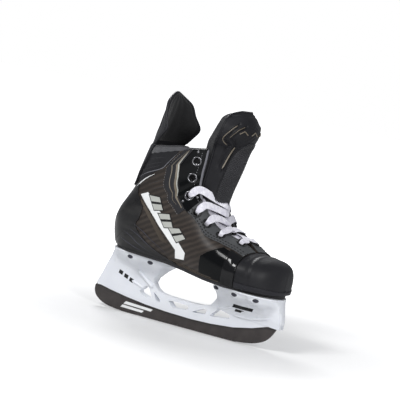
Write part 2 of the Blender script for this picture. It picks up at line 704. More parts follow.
def stitches(path, normals, step, size, lift):
    """Row of separate stitches along a path."""
    p, n = resampled(path, step, normals)
    way = unit(np.gradient(p, axis=0))
    parts = []
    for k in range(len(p) - 1):
        ends = np.linspace(-0.5, 0.5, 5)[:, None] * size[0] * way[k]
        thick = np.array([0.15, 0.85, 1, 0.85, 0.15])
        profile = oval(size[1], size[2], 6)[None] * thick[:, None, None]
        parts.append(sweep(p[k] + ends + n[k] * lift, np.repeat(n[k][None], 5, 0), profile))
    return joined(parts)


def together(name, parts, material, smooth=60):
    points, faces = joined(parts)
    return piece(name, points, faces, material, smooth)


def ride_boot(obj, slot, *nodes):
    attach(obj, "boot")
    if nodes:
        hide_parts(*nodes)
    return obj


def ray_tree(*objects):
    """Search tree in millimetres over the pieces' meshes."""
    points, faces, n = [], [], 0
    for obj in objects:
        points += [v.co / MM for v in obj.data.vertices]
        faces += [[k + n for k in p.vertices] for p in obj.data.polygons]
        n = len(points)
    return BVHTree.FromPolygons(points, faces)


def side_hit(tree, x, z, side):
    """Where the piece is met by a look straight from that side, and its normal there, or None twice."""
    hit, n, _, _ = tree.ray_cast(Vector((x, side * 90, z)), Vector((0, -side, 0)), 90)
    return (np.array(hit), np.array(n if n.y * side > 0 else -n)) if hit is not None else (None, None)


def printed(name, quads, tree, side, lift, material):
    """Thin film laid on a side of the skate. Each quad has four corners as x and z, and the film lies
    where they fall when they are looked at straight from that side."""
    step, sunk = 1.6, 0.15
    parts = []
    for quad in quads:
        c = np.asarray(quad, float)
        rows = max(int(np.linalg.norm(c[3] - c[0]) / step), 1) + 1
        cols = max(int(np.linalg.norm(c[1] - c[0]) / step), 1) + 1
        f, g = np.linspace(0, 1, rows)[:, None, None], np.linspace(0, 1, cols)[None, :, None]
        flat = (c[0] * (1 - f) + c[3] * f) * (1 - g) + (c[1] * (1 - f) + c[2] * f) * g
        outer, inner = np.zeros((rows, cols, 3)), np.zeros((rows, cols, 3))
        for i in range(rows):
            for j in range(cols):
                hit, n = side_hit(tree, *flat[i, j], side)
                outer[i, j], inner[i, j] = hit + n * lift, hit - n * sunk
        parts.append((np.concatenate([outer.reshape(-1, 3), inner.reshape(-1, 3)]),
                      slab_faces(rows, cols)))
    return together(name, parts, material, 30)


SIDES = ((LATERAL, "lateral"), (MEDIAL, "medial"))
EYELET_HOLE = 3.75


def eyelet_frame(side, i):
    u, y = EYELETS[i]
    a = beside(u, y)
    return skin(u, a, 0, side), skin_normal(u, a, side)


def punch(obj, side, eyelets):
    """Cuts the eyelets' holes."""
    parts = []
    for i in eyelets:
        p, n = eyelet_frame(side, i)
        parts.append(sweep(np.array([p - n * 9, p + n * 9]), np.array([[0.3, 0.2, 0.9]] * 2),
                           oval(2 * EYELET_HOLE, 2 * EYELET_HOLE, 28)))
    cutter = together("cutter", parts, "thread")
    bake(obj, ("BOOLEAN", dict(operation="DIFFERENCE", object=cutter, solver="EXACT")))
    bpy.data.objects.remove(cutter)
    return obj


# ---------------------------------------------------------------- quarters and overlays

def heel_top(u):
    """Upper edge of the dark film on the heel, as a fraction of the section's height."""
    return np.interp(u, [10.2, 12, 14, 17, 19, 20.5, 21.8, 23],
                     [0.0, 0.08, 0.2, 0.33, 0.42, 0.36, 0.26, 0.17])


def wrinkled(depth, size, seed):
    """Depth with slow ripples, as a bonded film has."""
    return lambda f, g: (depth + size * np.sin(9 * f + 5 * g + seed) * np.sin(7 * g - 4 * f + 2 * seed))


def stitch_row(low, u0, u1, side, lift, step=2.6, size=(1.7, 0.7, 0.55)):
    u = np.linspace(u0, u1, 90)
    p, n = on_skin(u, low(u), side, 0)
    return stitches(p, n, step, size, lift)


def binding_rope(side):
    """Rolled binding along the facing's edge."""
    count = 110
    u = np.linspace(12.2, U_RIM - 0.05, count)
    p, n = on_skin(u, facing_a(u) + 0.002, side, -0.3)
    taper = np.minimum(np.minimum(np.arange(count), np.arange(count)[::-1]) / 3 + 0.25, 1)
    return sweep(p, n, oval(3.4, 4.4, 10)[None] * taper[:, None, None])


def film_front(t):
    """Section where the forefoot film ends, for a height."""
    return np.interp(t, [0, 0.4, 0.6, 0.79], [8.3, 8.45, 7.6, 6.75])


def yoke_low(u):
    return up(u, np.interp(u, [23.0, 23.3, 23.6, 24.2, 25.4], [0.2, 0.1, 0.05, 0.03, 0.02]))


def yoke_high(u):
    return up(u, np.interp(u, [23.0, 23.3, 23.6, 23.9, 24.6, 25.4], [0.21, 0.28, 0.45, 0.53, 0.565, 0.61]))


# Routes of sections and heights
HEEL_RIBS = ([(17.0, 0.115), (15.2, 0.084), (13.95, 0.051), (12.8, 0.02)],
             [(17.4, 0.185), (15.25, 0.163), (13.75, 0.103), (12.3, 0.04)],
             [(17.3, 0.245), (14.8, 0.209), (13.15, 0.141), (11.6, 0.05)],
             [(17.2, 0.305), (14.7, 0.268), (13, 0.202), (11.2, 0.10)])
ANKLE_PIPING = [(22.5, 0.13), (22.65, 0.157), (22.95, 0.21), (23.15, 0.282), (23.22, 0.38)]
ANKLE_LINE = [(23.55, 0.03), (23.62, 0.15), (23.65, 0.268), (23.6, 0.445), (24.0, 0.50), (24.7, 0.565),
              (25.2, 0.62)]
YOKE_LINES = ((0.5, [(24.95, 0.12), (24.9, 0.305), (24.8, 0.44)]),
              (0.5, [(24.45, 0.10), (24.4, 0.28), (24.3, 0.43)]),
              (0.5, [(24.1, 0.08), (24.05, 0.26), (24.0, 0.42)]),
              (0.1, [(22.15, 0.36), (22.0, 0.482), (21.9, 0.56)]),
              (0.1, [(21.1, 0.45), (20.65, 0.575), (20.6, 0.62)]))
# Middle, width, first and last section and lift of each stripe on the chevron
STRIPES = ((STRIPE_MAIN, 0.040, 13.4, 25.3, 0.95), (STRIPE_THIN, 0.010, 14.6, 25.2, 0.95),
           (STRIPE_MAIN + [0, 0.010], 0.013, 16.5, 25.0, 1.05))

QUARTERS = {}
for side, name in SIDES:
    quarter = boot_panel(f"quarter_{name}_shell", (side, U_CAP + 0.02, U_RIM, floor_edge, facing_a),
                         0, 2.2, 110, 26, "quarter", 0.3, 1)
    QUARTERS[side] = ray_tree(quarter)
    punch(quarter, side, range(7))
    ride_boot(quarter, "quarter_weave", f"quarter_{name}")

    counter = boot_panel(f"heel_film_{name}", (side, 10.2, 23, floor_edge, lambda u: up(u, heel_top(u))),
                         wrinkled(-0.75, 0.12, 1), -0.05, 80, 14, "heel", 0.25)
    ride_boot(counter, "heel_plastic", f"heel_counter_{name}")

    # Raised ribs that fan from the back of the heel down to the sole
    ribs = [skin_rope(route, side, 0.8, oval(0.8, 0.6, 6), swell(0.02, 0.98, 50)) for route in HEEL_RIBS]
    ride_boot(together(f"heel_ribs_{name}", ribs, "rivet"), "heel_plastic")

    # Dark smooth film between the woven quarter and the glossy band
    rows, cols = 26, 22
    t = np.linspace(0.0, 0.8, rows + 1)[:, None] + np.zeros((1, cols + 1))
    g = np.linspace(0, 1, cols + 1)[None, :] + np.zeros((rows + 1, 1))
    u = 5.95 + (film_front(t) - 5.95) * g
    a = up(u, t * np.minimum(at(u, STAY_SEAM) / 0.8, 1))
    film = slab(f"forefoot_film_{name}", skin(u, a, -0.35, side), skin(u, a, -0.02, side), "panel", 0.15)
    ride_boot(film, "gloss_overlay")

    band = boot_panel(f"vamp_band_{name}_film", (side, U_CAP + 0.03, 6.1, floor_edge, seam(STAY_SEAM, -0.02)),
                      wrinkled(-0.95, 0.16, 2), -0.03, 16, 40, "patent", 0.4, 3)
    ride_boot(band, "gloss_overlay", f"vamp_band_{name}")

    lower = boot_panel(f"eyestay_lower_{name}_panel",
                       (side, U_CAP + 0.03, U_STAY + 0.5, seam(STAY_SEAM), facing_a),
                       -1.0, -0.05, 60, 16, "stay", 0.45, 3)
    punch(lower, side, (3, 4, 5, 6))
    ride_boot(lower, "eyestay_fabric", f"eyestay_lower_{name}")

    upper = boot_panel(f"eyestay_upper_{name}_panel",
                       (side, U_STAY - 0.15, U_RIM, seam(PANEL_SEAM), facing_a),
                       wrinkled(-1.35, 0.05, 3), -0.03, 70, 18, "panel", 0.6, 3)
    punch(upper, side, (0, 1, 2))
    ride_boot(upper, "gloss_overlay", f"eyestay_upper_{name}")

    # Chevron at the ankle: a dark band, a broad stripe with a light line on it, and a thin stripe
    trim = boot_panel(f"ankle_trim_{name}_band",
                      (side, 12.9, U_RIM, seam(TRIM_EDGE), seam(PANEL_SEAM, -0.004)),
                      -0.7, -0.03, 110, 8, "trim_dark", 0.25)
    ride_boot(trim, "trim_film", f"ankle_trim_{name}")
    stripes = []
    for middle, width, first, last, lift in STRIPES:
        u = np.linspace(first, last, 120)
        grown = np.where(u < 23.5, (u - first) / (23.5 - first), (last - u) / (last - 23.5))
        half = width / 2 * np.clip(grown, 0.12, 1) ** 0.7
        t = at(u, middle)
        outer = np.stack([skin(u, up(u, t + half * g), -lift, side) for g in (-1, 0, 1)], 1)
        inner = np.stack([skin(u, up(u, t + half * g), -0.55, side) for g in (-1, 0, 1)], 1)
        stripes.append((np.concatenate([outer.reshape(-1, 3), inner.reshape(-1, 3)]), slab_faces(120, 3)))
    ride_boot(together(f"ankle_stripes_{name}", stripes[:2], "trim_gold", 30), "trim_film")
    ride_boot(together(f"ankle_stripe_light_{name}", stripes[2:], "silver", 30), "trim_film")

    ride_boot(together(f"facing_binding_{name}", [binding_rope(side)], "stay_edge"), "eyestay_fabric")

    rows = [stitch_row(seam(STAY_SEAM, shift), 5.4, 12.6, side, 1.1, 3.2, (2.2, 1.2, 0.9))
            for shift in (0.02, 0.06)]
    rows.append(stitch_row(lambda u: facing_a(u) - 0.035, 5.6, 12.2, side, 1.0))
    ride_boot(together(f"eyestay_stitching_{name}", rows, "thread"), "eyestay_fabric")
    rows = [stitch_row(seam(TRIM_EDGE, -0.01), 13.2, 25.1, side, 0.05, 2.4, (1.4, 0.6, 0.5)),
            stitch_row(lambda u: facing_a(u) - 0.05, 12.6, 25.1, side, 1.35, 2.4, (1.4, 0.6, 0.5))]
    ride_boot(together(f"ankle_stitching_{name}", rows, "thread_grey"), "trim_film")

    # Bright piping at the back of the ankle and a fine line from the guard up to the chevron
    for piping, route, width, material in (("ankle_piping", ANKLE_PIPING, 1.3, "white"),
                                           ("ankle_line", ANKLE_LINE, 0.75, "stay_edge")):
        rope = skin_rope(route, side, 0.55, oval(width, 0.7 * width, 8), swell(0.06, 0.97, 60))
        ride_boot(together(f"{piping}_{name}", [rope], material), "trim_film")

    # Dark yoke under the collar, above the piping
    yoke = boot_panel(f"ankle_yoke_{name}", (side, 23.0, U_RIM, yoke_low, yoke_high),
                      -0.5, -0.02, 34, 26, "guard", 0.2)
    ride_boot(yoke, "guard_plastic")
    lines = [skin_rope(route, side, lift, oval(0.45, 0.4, 6), swell(0.03, 0.97, 40))
             for lift, route in YOKE_LINES]
    ride_boot(together(f"yoke_lines_{name}", lines, "yoke_line"), "trim_film")

# ---------------------------------------------------------------- prints on the quarters

for side, name in SIDES:
    tree = QUARTERS[side]
    stripe = [[(-52.8, 122.4), (-44.5, 125.9), (-16.5, 98.5), (-27.5, 96.9)],
              [(-27.5, 96.9), (-16.5, 98.5), (8.0, 76.3), (-4.0, 77.0)],
              [(-4.0, 77.0), (8.0, 76.3), (7.2, 69.6), (-3.6, 68.9)]]
    ride_boot(printed(f"side_stripe_{name}", stripe, tree, side, 0.25, "white"), "trim_film")
    # Three pairs of slanted bars on dark blocks, in place of lettering
    blocks, bars = [], []
    for corners in ([(-42.3, 123.4), (-30.3, 123.5), (-24.9, 112.0), (-34.8, 110.3)],
                    [(-29.8, 107.7), (-17.1, 109.4), (-10.6, 97.6), (-20.6, 95.9)],
                    [(-15.7, 96.2), (-3.1, 98.1), (5.9, 90.0), (-4.1, 84.5)]):
        tl, tr, br, bl = np.array(corners)
        for quads, margin, spans in ((blocks, -0.05, [(-0.06, 1.06)]),
                                     (bars, 0.03, [(0.0, 0.4), (0.58, 1.0)])):
            for span in spans:
                rows = [(tl + (bl - tl) * v, tr + (br - tr) * v) for v in span]
                (a, b), (d, c) = [(p + (q - p) * margin, q - (q - p) * margin) for p, q in rows]
                quads.append([a, b, c, d])
    ride_boot(printed(f"side_graphic_blocks_{name}", blocks, tree, side, 0.4, "eyelet_black"), "trim_film")
    ride_boot(printed(f"side_graphic_{name}", bars, tree, side, 0.6, "silver"), "trim_film")
    shade = [[(-53.8, 117.3), (-49.1, 116.4), (-14.6, 81.1), (-22.7, 82.7)]]
    ride_boot(printed(f"side_shadow_stripe_{name}", shade, tree, side, 0.14, "trim_bronze"), "trim_film")



def heel_base(depth):
    """Grid across the base of the heel, between the two halves where they part above the sole."""
    j = np.linspace(-1, 1, 17)[None, :]
    edge = skin(np.linspace(17.3, 19.5, 18), np.zeros(18), depth, 1, 0.0)[:, None, :] + np.zeros((1, 17, 1))
    half = edge[..., 1] + 1.0
    return np.stack([edge[..., 0] - 0.3 * half * (1 - j ** 2), half * j, edge[..., 2]], -1)


ride_boot(slab("heel_base_film", heel_base(-0.95), heel_base(1.6), "heel", 0.25), "heel_plastic")

# ---------------------------------------------------------------- toe


def toe_grid(u0, u1, low, depth, rows, cols):
    """Grid over the ridge from one side of the sole to the other."""
    u = np.linspace(u0, u1, rows + 1)[:, None] + np.zeros((1, 2 * cols + 1))
    j = np.arange(-cols, cols + 1)[None, :] + np.zeros((rows + 1, 1))
    a = 1 + (low(u) - 1) * np.abs(j) / cols
    d = depth(u, a) if callable(depth) else np.full_like(u, depth)
    return np.stack([skin(u[:, k], a[:, k], d[:, k], np.sign(j[0, k]), 0.0 if k == cols else 0.03)
                     for k in range(2 * cols + 1)], 1)


def toe_relief(u, a):
    """A soft crease across the cap, a step above the sole and a slightly raised front."""
    crease = 4.55 - 0.55 * (1 - a) ** 0.8
    groove = 0.55 * np.exp(-((u - crease) / 0.10) ** 2) * np.clip((a - 0.1) / 0.25, 0, 1)
    ridge = -0.35 * np.exp(-((u - crease + 0.24) / 0.12) ** 2) * np.clip((a - 0.1) / 0.25, 0, 1)
    return groove + ridge - 0.25 * np.clip((4.2 - u) / 2, 0, 1)


cap = slab("toe_cap_shell", toe_grid(0.0, U_CAP - 0.02, floor_edge, toe_relief, 64, 34),
           toe_grid(0.5, U_CAP - 0.02, floor_edge, 2.2, 64, 34), "toe", 0.35)
ride_boot(cap, "toe_plastic", "toe_cap")


def rand_grid(depth):
    """Grid round the toe, from the sole to the rand's upper edge."""
    i = np.arange(-60, 61)
    u = np.abs(i) / 60 * (U_CAP - 0.06)
    return np.stack([np.stack([skin(u[k], a, depth, np.sign(i[k]) or 1, 0.0) for k in range(len(i))])
                     for a in np.linspace(0.0, 0.12, 5)], 1)


def lining_edge(u):
    return np.full_like(u, 0.18)


ride_boot(slab("toe_rand_strip", rand_grid(-0.95), rand_grid(-0.02), "rand", 0.35), "rand_rubber", "toe_rand")
lining = slab("toe_box_lining", toe_grid(0.6, U_CAP, lining_edge, 2.35, 26, 16),
              toe_grid(0.8, U_CAP, lining_edge, 3.5, 26, 16), "lining", 0.4)
ride_boot(lining, "lining_fabric", "toe_lining")

# Raised edge where the quarters and the band lap the cap
for side, name in SIDES:
    u = np.full(60, U_CAP + 0.04)
    p, n = on_skin(u, up(u, np.linspace(0.0, 0.95, 60)), side, 0.9)
    ride_boot(together(f"cap_edge_{name}", [sweep(p, n, oval(1.5, 1.1, 8))], "patent"), "gloss_overlay")

# ---------------------------------------------------------------- eyelets

# Radius and height over the panel
STUD = np.array([[1.5, -0.4], [1.5, 0.1], [1.2, 0.5], [0.7, 0.75], [0.2, 0.82]])
RING = np.array([[3.0, -3.1], [4.4, -3.1], [4.4, -2.6], [3.55, -2.6], [3.55, 1.15], [4.5, 1.2],
                 [4.78, 1.5], [4.7, 1.95], [4.25, 2.25], [3.7, 2.2], [3.2, 1.85], [3.0, 1.2]])


def ring_parts(side, eyelets):
    return [turned_part(*eyelet_frame(side, i), [0.2, 0.3, 1.0], RING, 40, hollow=True) for i in eyelets]


for side, name in SIDES:
    ride_boot(together(f"eyelet_rings_{name}", ring_parts(side, (0, 1, 2)), "eyelet", 50),
              "eyelet_steel", f"eyelets_upper_{name}")
    ride_boot(together(f"eyelet_rings_black_{name}", ring_parts(side, (3, 4, 5, 6)), "eyelet_black", 50),
              "eyelet_black", f"eyelets_lower_{name}")
    studs = [turned_part(*on_skin(u, up(u, t), side, 1.35), [0, 0, 1.0], STUD, 16)
             for u, t in ((14.4, 0.745), (13.3, 0.87), (25.0, 0.84))]
    ride_boot(together(f"panel_rivets_{name}", studs, "eyelet", 60), "eyelet_steel")

# ---------------------------------------------------------------- padding, collar and footbed

LINER_FLOOR = np.array([[7, 0.2], [12, 0.14], [17, 0.12], [18.8, 0.1], [19.6, 0.03], [20, 0], [26, 0]])
LINER_FRONT = np.array([[7, 0.62], [9, 0.60], [11, 0.62], [14, 0.66], [18, 0.70], [23, 0.72], [26, 0.72]])
# Section and depth round the rolled collar, with a seam on each face
COLLAR_LOOP = [[25.30, 0.3], [25.32, -0.5], [25.5, -1.0], [25.52, -0.75], [25.7, -1.1], [25.9, -0.8],
               [26.0, 0.2], [26.05, 1.8], [26.04, 3.6], [25.96, 5.4], [25.78, 6.5], [25.5, 6.7], [25.2, 6.3],
               [25.0, 5.2], [25.05, 3.4], [25.2, 2.4]]


def quilted(f, g):
    """Depth of the pad's inner face: full in the middle, drawn in at its edge and along two seams."""
    puff = (np.sin(math.pi * np.clip(f, 0, 1)) * np.sin(math.pi * np.clip(g, 0, 1))) ** 0.55
    seams = sum(np.exp(-((f - s - 0.06 * np.sin(3 * g)) / 0.012) ** 2) for s in (0.45, 0.78))
    return 3.4 + 2.6 * puff - 0.9 * seams * puff


for side, name in SIDES:
    pad = boot_panel(f"ankle_pad_{name}", (side, 7.2, U_RIM - 0.1, seam(LINER_FLOOR), seam(LINER_FRONT)),
                     2.32, quilted, 72, 30, "lining", 0.4)
    ride_boot(pad, "lining_fabric", f"ankle_foam_{name}", f"liner_{name}")

    # Soft rolled collar along the rim, drawn in at its front end
    t = np.concatenate([np.linspace(0.0, 0.65, 54), np.linspace(0.66, 0.715, 8)])
    ring = np.stack([skin(u, up(np.full_like(t, min(u, U_TOP)), t), d + 0.12 * np.sin(t * 60), side, 0.1)
                     for u, d in COLLAR_LOOP], 1)
    core = ring.mean(1, keepdims=True)
    closing = np.interp(t, [0.655, 0.69, 0.708, 0.715], [1, 0.86, 0.6, 0.3])[:, None, None]
    ring = core + (ring - core) * closing
    collar = piece(f"collar_{name}_roll", ring, tube_faces(*ring.shape[:2]), "collar", 180)
    bake(collar, ("SUBSURF", dict(levels=1, render_levels=1)), smooth=180)
    ride_boot(collar, "collar_fabric", f"collar_{name}")


def sole_outline(inset):
    """Plan outline of the sole, drawn in by inset, as x, lateral y and medial y."""
    x = 6.5 - (95 - inset) * np.cos(np.linspace(0, math.pi, 150))
    table = np.array([[s[0], s[4], s[5]] for s in SOLE_SECTIONS][::-1])
    half, shift = np.interp(x, table[:, 0], table[:, 1]), np.interp(x, table[:, 0], table[:, 2])
    ends = np.minimum(np.abs(x + 88.5 - inset), np.abs(101.5 - inset - x))
    half = np.minimum(half - inset, np.sqrt(np.maximum(ends * 28, 0)) + 0.3)
    return x, shift - half, shift + half


def sole_slab(name, inset, bottom, top, material):
    """Plate along the sole between two heights over the sole line."""
    x, left, right = sole_outline(inset)
    g = np.linspace(0, 1, 25)[None, :]
    y = left[:, None] + (right - left)[:, None] * g
    x = x[:, None] + np.zeros_like(y)
    z = sole_z(x)
    hi = top(x, np.abs(2 * g - 1)) if callable(top) else top
    return slab(name, np.stack([x, y, z + hi], -1), np.stack([x, y, z + bottom], -1), material, 0.6)


def footbed_top(x, across):
    """Raised rim and heel cup, a low arch and quilted grooves."""
    cup = 3.0 * across ** 4 * np.clip((20 - x) / 60, 0.25, 1)
    return 8.4 + cup + 0.25 * np.sin(x / 3.2) * (across < 0.8)


ride_boot(sole_slab("outsole_plate", 0.2, 0.02, SOLE_T, "outsole"), "outsole_plastic", "outsole")
footbed = sole_slab("footbed_cushion", 4.6, SOLE_T + 2.4, footbed_top, "footbed")
ride_boot(footbed, "footbed_foam", "footbed")

# Welt lines along the arch
for side, name in SIDES:
    lines = [sweep(*on_skin(np.linspace(first, last, 110), a, side, 0.25), oval(0.9, 0.8, 6))
             for a, first, last in ((0.006, 6.3, 20.4), (0.035, 7.0, 12.5))]
    ride_boot(together(f"arch_lines_{name}", lines, "trim_bronze"), "trim_film")

# ---------------------------------------------------------------- tendon guard

# z, x, curl across and half width of the guard's free part
GUARD = np.array([[172.6, -64.2, 0.0160, 27], [182, -62.4, 0.0185, 30], [192, -59.8, 0.0210, 31],
                  [204, -56.6, 0.0160, 27], [214.5, -54.2, 0.0125, 22.5], [221, -53.2, 0.0115, 12],
                  [225.6, -53, 0.0110, 2]], float)
# Section, and height that the guard's foot reaches to
GUARD_WIDTH = np.array([[23, 0.06], [24, 0.10], [25, 0.15], [26, 0.19]])


GUARD_T = 2.6


def guard_grid(depth, narrower=0.0):
    """Grid of the guard from its foot to its peak. The depth runs from its back face towards the leg."""
    j = np.linspace(-1, 1, 33)
    out = []
    for u in np.linspace(23, U_TOP, 12):
        a = up(np.full_like(j, u), at(u, GUARD_WIDTH)) * np.abs(j)
        out.append(np.stack([skin(u, a[k], depth - GUARD_T, np.sign(j[k]), 0.0) for k in range(len(j))]))
    for f in np.linspace(0.12, len(GUARD) - 1, 46):
        z, x, curl, half = spline(GUARD, np.array(f))
        y = max(half - narrower, 0.8) * j
        out.append(np.stack([x + curl * y * y + depth, y, np.full_like(y, z)], -1))
    return np.stack(out)


back, front = guard_grid(0.0), guard_grid(GUARD_T)
guard = slab("tendon_guard_shell", back, front, "guard", 0.6, 3)
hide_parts("guard_base", "tendon_guard")
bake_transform(guard)

FREE_ROWS = 14   # rows of the guard below its free part
felt_front = guard_grid(GUARD_T + 0.1, narrower=2.2)[FREE_ROWS:-1]
f, g = (np.linspace(0, 1, n) for n in felt_front.shape[:2])
f, g = f[:, None], g[None, :]
puff = 2.4 * (np.clip(np.sin(math.pi * f), 0, 1) * np.clip(np.sin(math.pi * g), 0, 1)) ** 0.35
ribs = 0.21 * np.sin(g * math.pi * 10) * (np.sin(math.pi * f) > 0.3)
felt = slab("tendon_guard_padding", felt_front, felt_front + (puff + ribs)[..., None] * [1, 0, 0],
            "guard_felt", 0.3)
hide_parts("tendon_guard_felt")
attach(felt, "tendon_guard")

# Raised rim round the guard's front edge and two ribs down its back
edge = (front * 0.7 + back * 0.3)[FREE_ROWS:]
outwards = [np.repeat([[-0.5, y, 0.2]], len(edge), 0) for y in (-0.8, 0.8)]
path, faces_to = resampled(np.concatenate([edge[:, 0], edge[::-1, -1]]), 1.6, np.concatenate(outwards))
parts = [sweep(path, faces_to, oval(2.2, 2.4))]
for j in (9, 23):
    spine = back[FREE_ROWS:50, j] - [0.3, 0, 0]
    taper = np.sin(np.linspace(0.08, math.pi - 0.08, len(spine)))[:, None, None]
    parts.append(sweep(spine, np.repeat([[-1.0, 0, 0.1]], len(spine), 0), oval(2.0, 1.4)[None] * taper))
rim = together("tendon_guard_rim", parts, "trim_dark")
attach(rim, "tendon_guard")

# ---------------------------------------------------------------- tongue

# x and z of the front in the middle plane, and how wide and how far back the curve goes at 90 degrees
TONGUE = np.array([[23, 119, 17.5, 20], [24.6, 126, 18.5, 26], [28.2, 142, 19.2, 33], [33.6, 160, 19.4, 37],
                   [38.4, 179, 20, 40], [40.8, 187, 25.5, 38], [42.8, 194, 30.5, 34], [43.5, 200, 32, 31],
                   [42.4, 206, 30, 28], [39.6, 212, 25, 24], [36.4, 216.2, 18.5, 16], [33.4, 219, 9, 6]])


def tongue_at(f, phi, depth):
    """Point of the tongue: level f of its table, angle phi from the middle and depth from its front."""
    f, phi, depth = np.broadcast_arrays(*(np.asarray(v, float) for v in (f, phi, depth)))
    s = np.moveaxis(spline(TONGUE, f), -1, 0)
    d = np.minimum(depth, depth * np.maximum(s[3], 0) / 18)
    angle = np.radians(phi)
    return np.stack([s[0] - d - (s[3] - d) * (1 - np.cos(angle)), (s[2] - d) * np.sin(angle), s[1]], -1)


def tongue_normal(f, phi):
    e = 0.02
    along = tongue_at(np.minimum(f + e, 11), phi, 0) - tongue_at(np.maximum(f - e, 0), phi, 0)
    round_ = tongue_at(f, phi + 1, 0) - tongue_at(f, phi - 1, 0)
    return unit(np.cross(round_, along))


def tongue_grid(depth, wrap, rows, cols, last=11.0):
    f = np.linspace(0.0, last, rows + 1)[:, None] + np.zeros((1, 2 * cols + 1))
    phi = wrap * np.linspace(-1, 1, 2 * cols + 1)[None, :] + np.zeros((rows + 1, 1))
    d = depth(f, phi) if callable(depth) else depth
    return tongue_at(f, phi, d)


def line_gap(f, phi, route):
    """Distance from a route of (level, angle) points, mirrored to both sides, in angle units."""
    p = np.stack([f * 14, np.abs(phi)], -1)
    best = np.full(f.shape, 1e9)
    for a, b in zip(route[:-1], route[1:]):
        a, b = np.array([a[0] * 14, a[1]]), np.array([b[0] * 14, b[1]])
        along = np.clip(((p - a) @ (b - a)) / ((b - a) @ (b - a)), 0, 1)
        best = np.minimum(best, np.linalg.norm(p - a - along[..., None] * (b - a), axis=-1))
    return best


def ride_tongue(obj, slot, *nodes):
    """Takes a piece along with the tongue, bent over the tongue's root."""
    if nodes:
        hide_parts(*nodes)
    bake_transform(obj)


OUTER_ROUTE = [(8.2, 42), (7.2, 52), (5.6, 61), (4.7, 50), (3.3, 57)]
BAR_ROUTE = [(8.1, 34), (7.2, 46), (5.7, 56), (4.75, 43.5), (3.2, 52)]
INNER_ROUTE = [(8.0, 26), (7.2, 40), (5.8, 51), (4.8, 37), (3.0, 47)]


def embossed(f, phi):
    """Moulded relief of the tongue: sunk channels round raised bars, and a step at the rim."""
    channel = 1.5 * np.exp(-(line_gap(f, phi, OUTER_ROUTE) / 2.6) ** 2)
    channel += 1.5 * np.exp(-(line_gap(f, phi, INNER_ROUTE) / 2.4) ** 2)
    raised = -0.7 * np.exp(-(line_gap(f, phi, BAR_ROUTE) / 3.6) ** 2)
    rim = 0.7 * np.exp(-((f - 9.6 - 0.4 * np.cos(np.radians(phi * 2))) / 0.16) ** 2)
    window = (np.clip((f - 5.3) / 0.5, 0, 1) * np.clip((8.6 - f) / 0.5, 0, 1)
              * np.clip((31 - np.abs(phi)) / 6, 0, 1))
    ribs = 0.16 * np.sin(np.abs(phi) * 0.55 + f * 9) * window
    return channel + raised + rim + ribs + 0.3


ride_tongue(slab("tongue_face_shell", tongue_grid(embossed, 70, 150, 44), tongue_grid(2.3, 70, 150, 44),
                 "tongue", 0.4), "tongue_moulded", "tongue_face")


def felt_front(f, phi):
    """Front of the felt: behind the face, and out to the face's front past its edge."""
    return 2.4 - 1.9 * np.clip((np.abs(phi) - 70.5) / 2, 0, 1)


def felt_back(f, phi):
    """Back of the felt: thick in the middle and thin at the edge, with three quilting seams."""
    edge = (np.clip((FELT_WRAP - np.abs(phi)) / 14, 0, 1) * np.clip((FELT_TOP - f) / 1.2, 0.0, 1)
            * np.clip(f / 0.6, 0.3, 1))
    seams = sum(np.exp(-((f - s) / 0.05) ** 2) for s in (3.2, 5.6, 7.6))
    return 2.5 + 4.8 * edge ** 0.5 - 0.9 * seams * edge


FELT_WRAP, FELT_TOP = 84, 10.4
felt = slab("tongue_felt_padding", tongue_grid(felt_front, FELT_WRAP, 110, 40, FELT_TOP),
            tongue_grid(felt_back, FELT_WRAP, 110, 40, FELT_TOP), "felt", 0.4)
ride_tongue(felt, "tongue_lining", "tongue_felt")

# Knitted panel down the middle of the tongue, bound by a cord
f = np.linspace(0.4, 5.4, 130)[:, None] + np.zeros((1, 61))
phi = np.interp(f, [0.4, 2, 3.5, 4.6, 5.4], [40, 42, 40, 27, 12]) * np.linspace(-1, 1, 61)[None, :]
holes = 0.45 * np.cos(f * 42) * np.cos(phi * 0.95)
ride_tongue(slab("tongue_mesh_panel", tongue_at(f, phi, -0.25 + holes), tongue_at(f, phi, 0.6),
                 "mesh", 0.2, 1), "tongue_lining")


def tongue_line(f, phi, depth, profile):
    """Cord over the tongue through levels and angles."""
    return sweep(tongue_at(f, phi, depth), tongue_normal(f, phi), profile)


def tongue_rope(route, width, height):
    """The same tapered cord on both sides of the tongue, along a smooth route of levels and angles."""
    taper = np.clip(np.sin(np.linspace(0.05, math.pi - 0.05, 70)) * 3, 0.15, 1)[:, None, None]
    profile = oval(width, height)[None] * taper
    return [tongue_line(*curve([[f, s * phi] for f, phi in route], 70).T, 0, profile) for s in (-1, 1)]


binding = tongue_rope([(5.4, 3), (4.7, 27), (3.5, 40), (2, 42), (0.5, 41)], 1.4, 1.2)
accents = tongue_rope([(8.0, 46), (7.2, 54.5), (5.6, 63.5), (4.75, 53)], 0.9, 0.7)
accents += tongue_rope([(4.6, 39.5), (3.9, 44), (3.1, 49.5)], 1.3, 0.8)
accents += tongue_rope([(7.9, 30), (7.2, 42.5), (5.8, 53.5)], 0.7, 0.6)
f = np.concatenate([np.linspace(0.9, 10.85, 110), np.full(36, 10.95), np.linspace(10.85, 0.9, 110)])
phi = np.concatenate([np.full(110, -72.0), np.linspace(-66, 66, 36), np.full(110, 72.0)])
rim_rope = tongue_line(f, phi, 1.0, oval(2.6, 2.4))
ride_tongue(together("tongue_panel_binding", binding, "tongue"), "tongue_moulded")
ride_tongue(together("tongue_accents", accents, "trim_gold"), "trim_film")
ride_tongue(together("tongue_rim_binding", [rim_rope], "tongue"), "tongue_moulded")

